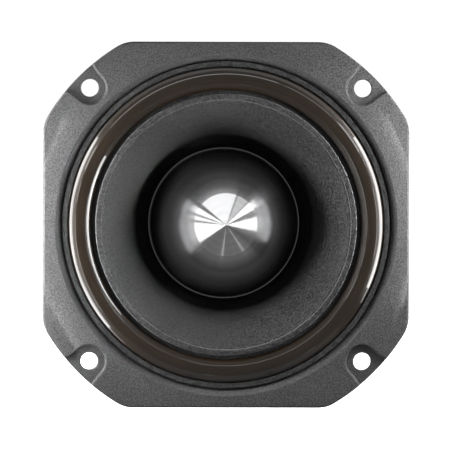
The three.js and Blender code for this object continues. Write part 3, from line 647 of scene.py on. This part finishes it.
def rounded_rectangle(width, height, corner, x=0.0, z=0.0, steps=8):
    """An [x, z] outline round the point x, z, with steps points to a corner."""
    right, top = width / 2 - corner, height / 2 - corner
    quarter = math.pi / 2
    outline = []
    for index, (sx, sz) in enumerate(((1, 1), (-1, 1), (-1, -1), (1, -1))):
        start = index * quarter
        outline += arc(x + sx * right, z + sz * top, corner, start, start + quarter, steps)
    return outline


def turned_to(outline, angle):
    """Turns an [x, z] outline about the sound axis."""
    c, s = math.cos(angle), math.sin(angle)
    return [(x * c - z * s, x * s + z * c) for x, z in outline]


def circle(radius, x=0.0, z=0.0, steps=SMALL):
    return arc(x, z, radius, 0, 2 * math.pi, steps)[:-1]


def combine(obj, others, operation):
    """Joins the others to obj or cuts them from it, and removes them."""
    for other in others:
        modifier = obj.modifiers.new("boolean", "BOOLEAN")
        modifier.operation = operation
        modifier.solver = "EXACT"
        modifier.object = other
    settle(obj)
    for other in others:
        mesh = other.data
        bpy.data.objects.remove(other)
        bpy.data.meshes.remove(mesh)


def settle(obj):
    """Applies obj's modifiers."""
    bpy.context.view_layer.update()
    evaluated = obj.evaluated_get(bpy.context.evaluated_depsgraph_get())
    mesh = bpy.data.meshes.new_from_object(evaluated)
    obj.modifiers.clear()
    old = obj.data
    obj.data = mesh
    bpy.data.meshes.remove(old)


def settle_shading(obj, degrees=32):
    """Smooth shading that keeps flat faces flat and sharp edges sharp."""
    smooth(obj, degrees)
    weighted = obj.modifiers.new("weighted", "WEIGHTED_NORMAL")
    weighted.keep_sharp = True
    weighted.weight = 100
    settle(obj)


def ease_edges(obj, millimetres, segments=3, degrees=35):
    """Rounds the sharp edges of a cut shape."""
    obj.data.shade_smooth()
    bevel = obj.modifiers.new("bevel", "BEVEL")
    bevel.width = millimetres * MM
    bevel.segments = segments
    bevel.limit_method = "ANGLE"
    bevel.angle_limit = math.radians(degrees)
    bevel.use_clamp_overlap = False
    bevel.miter_outer = "MITER_ARC"
    weighted = obj.modifiers.new("weighted", "WEIGHTED_NORMAL")
    weighted.weight = 100
    settle(obj)


def install(obj, body, slot, material, *nodes):
    """Gives a piece its material, its body and the CAD nodes that it stands for."""
    obj.data.materials.clear()
    obj.data.materials.append(material)
    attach(obj, body)
    if nodes:
        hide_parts(*nodes)
    return obj


# ---- Front frame ----------------------------------------------------------------------------------


def flange_outline(inset=0.0):
    """A square whose corners are turned to a circle, with fillets between; inset moves it inwards."""
    fillet_x = FLANGE_HALF - CORNER_FILLET
    reach = CORNER_RADIUS - CORNER_FILLET
    tangent = math.atan2(math.sqrt(reach**2 - fillet_x**2), fillet_x)
    outline = []
    for quarter in range(4):
        start, end = quarter * math.pi / 2, (quarter + 1) * math.pi / 2
        first, second = start + tangent, end - tangent
        fillet = CORNER_FILLET - inset
        outline += arc(reach * math.cos(first), reach * math.sin(first), fillet, start, first, 14)
        outline += arc(0, 0, CORNER_RADIUS - inset, first, second, 24)[1:-1]
        outline += arc(reach * math.cos(second), reach * math.sin(second), fillet, second, end, 14)
    return outline


def pocket_outline(grow=0.0):
    """Round towards the middle, and open towards the corner with sides that flare."""
    outline = arc(0, 0, POCKET_RADIUS + grow, math.pi / 2, 3 * math.pi / 2, 24)
    widening, steps = 1.7, 5
    shares = [step / steps for step in range(1, steps + 1)]
    flare = [(POCKET_REACH * share, POCKET_RADIUS + grow + widening * share**2) for share in shares]
    outline += [(x, -z) for x, z in flare]
    outline += [(x, z) for x, z in reversed(flare)]
    return [(x + HOLE_CIRCLE, z) for x, z in outline]


def pocket_cutter(angle):
    """Cuts the pocket with a rounded upper edge and a small fillet at its floor."""
    floor = FLANGE_FRONT + POCKET_DEPTH
    edge = 0.55
    levels = [(edge, FLANGE_FRONT - 1)]
    levels += [(inwards, FLANGE_FRONT + along) for inwards, along in quarter_round(edge, 5)]
    levels += [(-inwards, floor - along) for inwards, along in reversed(quarter_round(0.3, 3))]
    outlines = [(turned_to(pocket_outline(grow), angle), y) for grow, y in levels]
    return loft("pocket", outlines)


def front_frame():
    """The flange with its eased edges, the skirt, the chamfered opening, the pockets and the screw holes."""
    levels = [(flange_outline(inwards), FLANGE_FRONT + along) for inwards, along in quarter_round(0.5)]
    levels += [(flange_outline(inwards), -along) for inwards, along in reversed(quarter_round(0.2, 2))]
    casting = loft("frame", levels)
    skirt_outline = [(SKIRT_INNER, -3), (SKIRT_OUTER, -3), (SKIRT_OUTER, SKIRT_END), (SKIRT_INNER, SKIRT_END)]
    skirt = lathe("skirt", skirt_outline)
    # The opening: a chamfer rounded at both ends, the seat of the horn's lip, the shoulder, the skirt's bore
    chamfer_edge = 44.75
    seat_outline = [
        (0, FLANGE_FRONT - 1),
        (chamfer_edge, FLANGE_FRONT - 1),
        (chamfer_edge, FLANGE_FRONT),
        (44.6, FLANGE_FRONT + 0.03),
        (44.46, FLANGE_FRONT + 0.12),
        (44.34, FLANGE_FRONT + 0.26),
        (43.2, FLANGE_FRONT + 1.9),
        (43.06, FLANGE_FRONT + 2.05),
        (42.95, FLANGE_FRONT + 2.15),
        (SEAT_RADIUS, FLANGE_FRONT + 2.3),
        (SEAT_RADIUS, SHOULDER_Y),
        (SKIRT_INNER, SHOULDER_Y),
        (SKIRT_INNER, 1),
        (0, 1),
    ]
    cutters = [lathe("seat", seat_outline)]
    cutters += [pocket_cutter(angle) for angle in DIAGONALS]
    # A screw hole, widened a little where it meets the pocket's floor
    hole = [(0, -6), (HOLE_RADIUS + 0.3, -6), (HOLE_RADIUS + 0.2, -3.8), (HOLE_RADIUS, -3.55)]
    hole += [(HOLE_RADIUS, 1), (0, 1)]
    for angle in DIAGONALS:
        x, z = HOLE_CIRCLE * math.cos(angle), HOLE_CIRCLE * math.sin(angle)
        cutters.append(lathe("panel_hole", hole, SMALL, x, z))
    combine(casting, [skirt], "UNION")
    combine(casting, cutters, "DIFFERENCE")
    settle_shading(casting)
    return casting


install(front_frame(), "chassis", "powder_coat", FRAME_COAT, "front_frame")

# ---- Horn, trim ring and bullet -------------------------------------------------------------------


def horn_flare():
    """The outer lip, the ring's channel, the stepped land, the bell and the round lip of the throat."""
    bell_front = -3.85
    outline = [
        (42.6, -1.3, 0.1),
        (42.6, -3.72, 0.16),
        (41.3, -3.6, 0.16),
        (41.3, CHANNEL_FLOOR, 0.1),
        (CHANNEL_INNER, CHANNEL_FLOOR, 0.1),
        (CHANNEL_INNER, LAND_TOP, 0.35),
        (32.7, LAND_TOP, 0.12),
        (32.45, bell_front, 0.1),
    ]
    steps = 28
    for step in range(steps + 1):
        reach = 1 - step / steps  # the bell's share of the way from its neck to its mouth
        radius = NECK_RADIUS + (MOUTH_RADIUS - NECK_RADIUS) * reach**FLARE_POWER
        outline.append((radius, RIM_Y + (bell_front - RIM_Y) * reach, 0))
    steps = 12
    for step in range(1, steps + 1):  # the throat's round lip
        angle = math.pi / 2 * step / steps
        radius = THROAT_RADIUS + (NECK_RADIUS - THROAT_RADIUS) * math.cos(angle)
        outline.append((radius, RIM_Y + (THROAT_LIP_Y - RIM_Y) * math.sin(angle), 0))
    # The sleeve's bore, the base, and the outside of the bell down to the spigot in the skirt
    outline += [
        (THROAT_RADIUS, 23.3, 0.1),
        (15.6, 23.3, 0),
        (15.6, 30.2, 0),
        (22.5, 30.2, 0.3),
        (22.5, 24, 0),
        (24.9, 16.4, 0),
        (25.7, 12.5, 0),
        (27.8, 7.5, 0),
        (30.6, 2.8, 0),
        (32.6, 0.7, 0),
        (40, 0.7, 0.2),
        (40, -1.3, 0.1),
    ]
    horn = lathe("horn", eased(outline))
    smooth(horn)
    return horn


def sloped(start, slopes, steps=10):
    """A curve from start whose slope in degrees changes evenly between the given radii."""
    radius, y = start
    points = [start]
    slope = 0
    for end, steepness in slopes:
        first, last = radius, slope
        for step in range(1, steps + 1):
            following = first + (end - first) * step / steps
            slope = last + (steepness - last) * (step - 0.5) / steps
            y += abs(following - radius) * math.tan(math.radians(slope))
            radius = following
            points.append((radius, y))
        slope = steepness
    return points


def trim_ring():
    """A nearly flat crown, a broad slope outside, a narrow steeper one inside and a flat base."""
    crown, base = (38, -5), -2.4
    outer = sloped(crown, ((39.1, 12), (39.45, 27), (40.8, 38), (41, 80)))
    inner = sloped(crown, ((36.85, 12), (36.55, 41.8), (35.4, 43.9), (35, 80)))
    outline = [(35, base), *reversed(inner), *outer[1:], (41, base)]
    ring = lathe("ring", outline)
    smooth(ring)
    return ring


def bullet():
    """A conical tip, a round nose, a fine bead at the rim and a back that tapers to the hub."""
    # The slope jumps from the cone's to the nose's, so the tip has a crisp edge
    cone_slope, nose_start = math.radians(23.5), math.radians(30)
    cone_rise = CONE_RADIUS * math.tan(cone_slope)
    nose_end = RIM_Y - 0.15
    wide = (BULLET_EDGE - CONE_RADIUS) / (1 - math.sin(nose_start))
    deep = (nose_end - cone_rise - BULLET_TIP) / math.cos(nose_start)
    outline = [(0, BULLET_TIP)]
    for share in (0.012, 0.04, 0.1, 0.25, 0.5, 0.75, 1.0):
        outline.append((CONE_RADIUS * share, BULLET_TIP + cone_rise * share))
    steps = 40
    for step in range(1, steps + 1):
        turn = nose_start + (math.pi / 2 - nose_start) * step / steps
        outline.append((BULLET_EDGE - wide * (1 - math.sin(turn)), nose_end - deep * math.cos(turn)))
    bead, steps = 0.23, 8
    for step in range(steps + 1):
        turn = math.pi * step / steps
        outline.append((BULLET_EDGE + bead * (1 - math.cos(turn)), RIM_Y + 0.1 - bead * math.sin(turn)))
    screw_hole, hole_end = 1.8, 12.7
    outline += [
        (19.66, RIM_Y + 0.7),
        (19.36, RIM_Y + 0.9),
        (11.5, RIM_Y + 3.4),
        (6.5, BULLET_BACK),
        (screw_hole, BULLET_BACK),
        (screw_hole, hole_end),
        (0, hole_end),
    ]
    nose = lathe("bullet_nose", outline)
    smooth(nose, 2.5)
    return nose


install(horn_flare(), "chassis", "powder_coat", HORN_COAT_SHADED, "horn_flare")
install(trim_ring(), "chassis", "ring_brown", RING_PLASTIC, "trim_ring")
install(bullet(), "chassis", "spun_aluminium", SPUN_ALUMINIUM, "bullet")

# ---- Rear cover and its screws --------------------------------------------------------------------


def cover_fillet(radius, rear, size, steps=10):
    """A quarter circle of that size from the wall to the rear face, without further rounding."""
    turns = [math.pi / 2 * step / steps for step in range(steps + 1)]
    return [(radius - size * (1 - math.cos(turn)), rear - size * (1 - math.sin(turn)), 0) for turn in turns]


def rear_cover():
    """The cup with its rounded rear edge, the terminals' window and the screw holes."""
    inside, floor = SKIRT_OUTER - COVER_WALL, COVER_REAR - COVER_WALL
    outline = [(inside, COVER_FRONT, 0.15), (SKIRT_OUTER, COVER_FRONT, 0.3)]
    outline += cover_fillet(SKIRT_OUTER, COVER_REAR, COVER_FILLET)
    outline += [(0, COVER_REAR, 0), (0, floor, 0)]
    outline += reversed(cover_fillet(inside, floor, COVER_FILLET - COVER_WALL))
    cover = lathe("cover", eased_open(outline))
    through = (60, 67)
    cuts = [prism("window", rounded_rectangle(40.8, 18.8, 0.6), *through)]
    for index, angle in enumerate(DIAGONALS):
        hole = turned_to(circle(1.8, COVER_SCREW_CIRCLE), angle)
        cuts.append(prism(f"cover_hole_{index}", hole, *through))
    for side, label in SIDES:
        cuts.append(prism(f"bezel_hole_{label}", circle(1.4, side * BEZEL_SCREW_X), *through))
    combine(cover, cuts, "DIFFERENCE")
    settle_shading(cover)
    return cover


def cross_recess(x, z, top, bottom, size):
    """A cross that narrows towards its bottom."""
    bars = []
    slim, taper = 0.26 * size, 0.55
    for index, (wide, high) in enumerate(((size, slim), (slim, size))):
        points = []
        for y, share in ((top, 1.0), (bottom, taper)):
            for sx, sz in ((-1, -1), (1, -1), (1, 1), (-1, 1)):
                points.append((x + sx * wide / 2 * share, y, z + sz * high / 2 * share))
        faces = [[0, 1, 2, 3], [7, 6, 5, 4]]
        faces += [[i, i + 4, (i + 1) % 4 + 4, (i + 1) % 4] for i in range(4)]
        bars.append(make(f"recess_{index}", points, faces))
    return bars


def pan_screw(name, x, z, shank, tip, seat, head, height):
    """A pan-head screw along Y with its head at the rear and a cross recess."""
    outline = [(0, tip), (shank * 0.75, tip), (shank, tip + 0.5)]
    outline += [(shank, seat), (head - 0.15, seat), (head, seat + 0.15)]
    steps = 10
    low, high = seat + 0.45 * height, seat + height
    for step in range(steps + 1):
        angle = math.pi / 2 * step / steps
        outline.append((head * math.cos(angle) ** 0.55, low + (high - low) * math.sin(angle)))
    outline[-1] = (0, high)
    screw = lathe(name, outline, SMALL, x, z)
    combine(screw, cross_recess(x, z, high + 0.2, seat + 0.35 * height, head * 1.15), "DIFFERENCE")
    ease_edges(screw, 0.06, 2)
    return screw


install(rear_cover(), "chassis", "powder_coat", FRAME_COAT, "rear_cover")
for index, angle in enumerate(DIAGONALS, start=1):
    x, z = COVER_SCREW_CIRCLE * math.cos(angle), COVER_SCREW_CIRCLE * math.sin(angle)
    name = f"cover_screw_look_{index}"
    screw = pan_screw(name, x, z, shank=1.5, tip=52.6, seat=65.8, head=2.8, height=2)
    install(screw, "chassis", "zinc_steel", ZINC_STEEL, f"cover_screw_{index}")

# ---- Push terminals -------------------------------------------------------------------------------


def eased_window(name, width, height, corner, x, z, edge):
    """Cuts a rounded opening through the bezel, with its rear edge rounded."""
    levels = [(0, BEZEL_FRONT - 1)]
    levels += [(grow, BEZEL_REAR - along) for grow, along in reversed(quarter_round(edge))]
    levels.append((edge, BEZEL_REAR + 1))
    outlines = [(rounded_rectangle(width + 2 * g, height + 2 * g, corner + g, x, z), y) for g, y in levels]
    return loft(name, outlines)


def terminal_plate():
    """The bezel with its rounded rim, the buttons' windows, the funnelled wire holes and the screw holes."""
    width, height, corner = 50, 22, 3
    levels = [(0, BEZEL_FRONT)]
    levels += [(inwards, BEZEL_REAR - along) for inwards, along in reversed(quarter_round(0.45))]
    outlines = []
    for inset, y in levels:
        outline = rounded_rectangle(width - 2 * inset, height - 2 * inset, corner - inset, steps=12)
        outlines.append((outline, y))
    plate = loft("bezel", outlines)
    front, rear = 65, 68
    funnel = [
        (0, front),
        (WIRE_HOLE_RADIUS, front),
        (WIRE_HOLE_RADIUS, 66.2),
        (1.7, 66.5),
        (2.25, 67.1),
        (2.45, BEZEL_REAR),
        (2.45, rear),
        (0, rear),
    ]
    cuts = []
    for side, label in SIDES:
        x = side * BUTTON_X
        cuts.append(eased_window(f"button_window_{label}", 9.8, 7.8, 1, x, BUTTON_Z, 0.3))
        cuts.append(lathe(f"wire_hole_{label}", funnel, SMALL, x, WIRE_HOLE_Z))
        cuts.append(prism(f"screw_hole_{label}", circle(1.5, side * BEZEL_SCREW_X), front, rear))
    combine(plate, cuts, "DIFFERENCE")
    settle_shading(plate)
    return plate


def raised_bar(name, x, width, height):
    """A bar of a + or - mark, beside a wire hole and 0.25 mm proud of the bezel."""
    outline = rounded_rectangle(width, height, 0.2, x, WIRE_HOLE_Z, 3)
    bar = prism(name, outline, BEZEL_REAR - 0.1, BEZEL_REAR + 0.25)
    ease_edges(bar, 0.08, 2)
    return bar


def push_button(name, side):
    """A cap with eased edges and a dish for the fingertip, on its foot."""
    x = side * BUTTON_X
    cap = prism(name, rounded_rectangle(9.2, 7.2, 0.8, x, BUTTON_Z), 64.9, CAP_REAR)
    steps, half = 48, 9
    rim = arc(CAP_REAR + DISH_RADIUS - DISH_DEPTH, BUTTON_Z, DISH_RADIUS, 0, 2 * math.pi, steps)[:-1]
    points = [(x + end, y, z) for end in (-half, half) for y, z in rim]
    faces = [list(range(steps)), list(range(2 * steps - 1, steps - 1, -1))]
    faces += [[i, i + steps, (i + 1) % steps + steps, (i + 1) % steps] for i in range(steps)]
    dish = make("dish", points, faces)
    foot = prism("foot", rounded_rectangle(10.2, 8.4, 0.5, x, BUTTON_Z, 3), 63.4, 65.4)
    combine(cap, [dish], "DIFFERENCE")
    combine(cap, [foot], "UNION")
    ease_edges(cap, 0.28)
    return cap


def coil_spring(name, side, turns=4, wire=0.35, radius=3.2):
    """A round-wire helix from the contact strip to the button's foot."""
    front, rear = SPRING_FRONT + wire, SPRING_REAR - wire
    around, sides = 40 * turns, 12
    points, faces = [], []
    rise = (rear - front) / (2 * math.pi * turns)
    for step in range(around + 1):
        angle = 2 * math.pi * turns * step / around
        outwards = Vector((math.cos(angle), 0, math.sin(angle)))
        along = Vector((-radius * math.sin(angle), rise, radius * math.cos(angle))).normalized()
        across = along.cross(outwards)
        centre = radius * outwards + Vector((side * BUTTON_X, front + rise * angle, BUTTON_Z))
        for index in range(sides):
            turn = 2 * math.pi * index / sides
            points.append(centre + wire * (math.cos(turn) * outwards + math.sin(turn) * across))
    for step in range(around):
        for index in range(sides):
            following = (index + 1) % sides
            low, high = step * sides, (step + 1) * sides
            faces.append([low + index, high + index, high + following, low + following])
    faces.append(list(range(sides)))
    faces.append(list(range((around + 1) * sides - 1, around * sides - 1, -1)))
    spring = make(name, points, faces)
    smooth(spring, 60)
    return spring


install(terminal_plate(), "chassis", "black_plastic", BLACK_PLASTIC, "terminal_plate")
MARK_X, MARK_LONG, MARK_WIDE = BUTTON_X + 5, 2.6, 0.6
for name, x, width, height in (
    ("plus_mark_across", MARK_X, MARK_LONG, MARK_WIDE),
    ("plus_mark_upright", MARK_X, MARK_WIDE, MARK_LONG),
    ("minus_mark", -MARK_X, MARK_LONG, MARK_WIDE),
):
    install(raised_bar(name, x, width, height), "chassis", "black_plastic", BLACK_PLASTIC)

for (side, label), (color, plastic) in zip(SIDES, (("red", RED_PLASTIC), ("black", BLACK_PLASTIC))):
    button = push_button(f"button_{color}", side)
    install(button, f"{color}_button", f"{color}_plastic", plastic, f"push_button_{color}")
    name, x = f"terminal_screw_look_{label}", side * BEZEL_SCREW_X
    screw = pan_screw(name, x, 0, shank=1.2, tip=61.5, seat=67.6, head=2.2, height=1.5)
    install(screw, "chassis", "zinc_steel", ZINC_STEEL, f"terminal_screw_{label}")
    spring = coil_spring(f"spring_{label}", side)
    install(spring, "chassis", "spring_steel", SPRING_STEEL, f"terminal_spring_{label}")
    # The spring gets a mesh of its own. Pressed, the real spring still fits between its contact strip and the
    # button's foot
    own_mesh(spring)

# ---- Coil leads -----------------------------------------------------------------------------------


def coil_lead(name, side):
    """A flat copper strip that comes forward from the coil, bends outwards and runs to its lug."""
    start, foot, bend = 12.85, 33.85, 0.45
    centre_x, centre_y = start + bend, LEAD_Y + bend
    sections = [((start, foot), (start + LEAD_THICKNESS, foot))]
    steps = 8
    outer, inner = (
        arc(centre_x, centre_y, radius, math.pi, 3 * math.pi / 2, steps)
        for radius in (bend, bend - LEAD_THICKNESS)
    )
    sections += zip(outer, inner)
    steps = 40
    for step in range(1, steps + 1):
        x = centre_x + (LEAD_END - centre_x) * step / steps
        sections.append(((x, LEAD_Y), (x, LEAD_Y + LEAD_THICKNESS)))
    half = LEAD_WIDTH / 2
    points, faces = [], []
    for outer, inner in sections:
        for (x, y), z in ((outer, -half), (outer, half), (inner, half), (inner, -half)):
            points.append((side * x, y, z))
    for index in range(0, len(points) - 4, 4):
        for corner in range(4):
            following = (corner + 1) % 4
            faces.append([index + corner, index + following, index + 4 + following, index + 4 + corner])
    faces += [[0, 1, 2, 3], [len(points) - 1 - corner for corner in range(4)]]
    lead = make(name, points, faces)
    smooth(lead)
    return lead


for side, label in SIDES:
    lead = coil_lead(f"lead_strip_{label}", side)
    lead.data.materials.append(COPPER)
    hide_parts(f"coil_lead_{label}")
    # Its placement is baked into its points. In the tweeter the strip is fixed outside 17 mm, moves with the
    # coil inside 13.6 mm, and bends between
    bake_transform(lead)

# ---- CAD nodes that stay as they are ---------------------------------------------------------------

KEPT_NODES = {
    "bullet_spider": BLACK_PLASTIC,
    "bullet_screw": ZINC_STEEL,
    "throat_gasket": CARD,
    "diaphragm_ring": BLACK_PLASTIC,
    "surround": POLYIMIDE,
    "dome_diaphragm": TITANIUM,
    "coil_former": POLYIMIDE,
    "voice_coil": COPPER,
    "solder_lug_1": BRASS,
    "solder_lug_2": BRASS,
    "pole_pad": FOAM,
    "top_plate": PLATED_IRON,
    "magnet": FERRITE,
    "yoke": PLATED_IRON,
    "terminal_body": BLACK_PLASTIC,
    "terminal_contact_1": BRASS,
    "terminal_contact_2": BRASS,
    "lead_wire_1": RED_INSULATION,
    "lead_wire_2": BLACK_INSULATION,
    **{f"assembly_screw_{number}": BLACK_STEEL for number in range(1, 5)},
}
for name, material in KEPT_NODES.items():
    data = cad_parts[name].data
    data.materials.clear()
    data.materials.append(material)

# ---- Floor ----------------------------------------------------------------------------------------


def make_floor(half=0.7):
    """A pale studio floor just under the flange."""
    low = cad_box[0][2]
    mesh = bpy.data.meshes.new("floor")
    corners = [(-half, -half, low), (half, -half, low), (half, half, low), (-half, half, low)]
    mesh.from_pydata(corners, [], [(0, 1, 2, 3)])
    floor = bpy.data.objects.new("floor", mesh)
    scene.collection.objects.link(floor)
    paint = Paint("floor_paint", Roughness=0.9, Specular_IOR_Level=0.1)
    cloud = paint.noise(60, detail=2)
    paint.color(paint.mix(cloud, (0.90, 0.90, 0.90), (0.93, 0.93, 0.93)))
    paint.shader.inputs["Emission Color"].default_value = (1, 1, 1, 1)
    paint.shader.inputs["Emission Strength"].default_value = 0.86
    mesh.materials.append(paint.material)
    floor.visible_diffuse = False
    floor.visible_glossy = False
    floor.visible_shadow = False


make_floor()
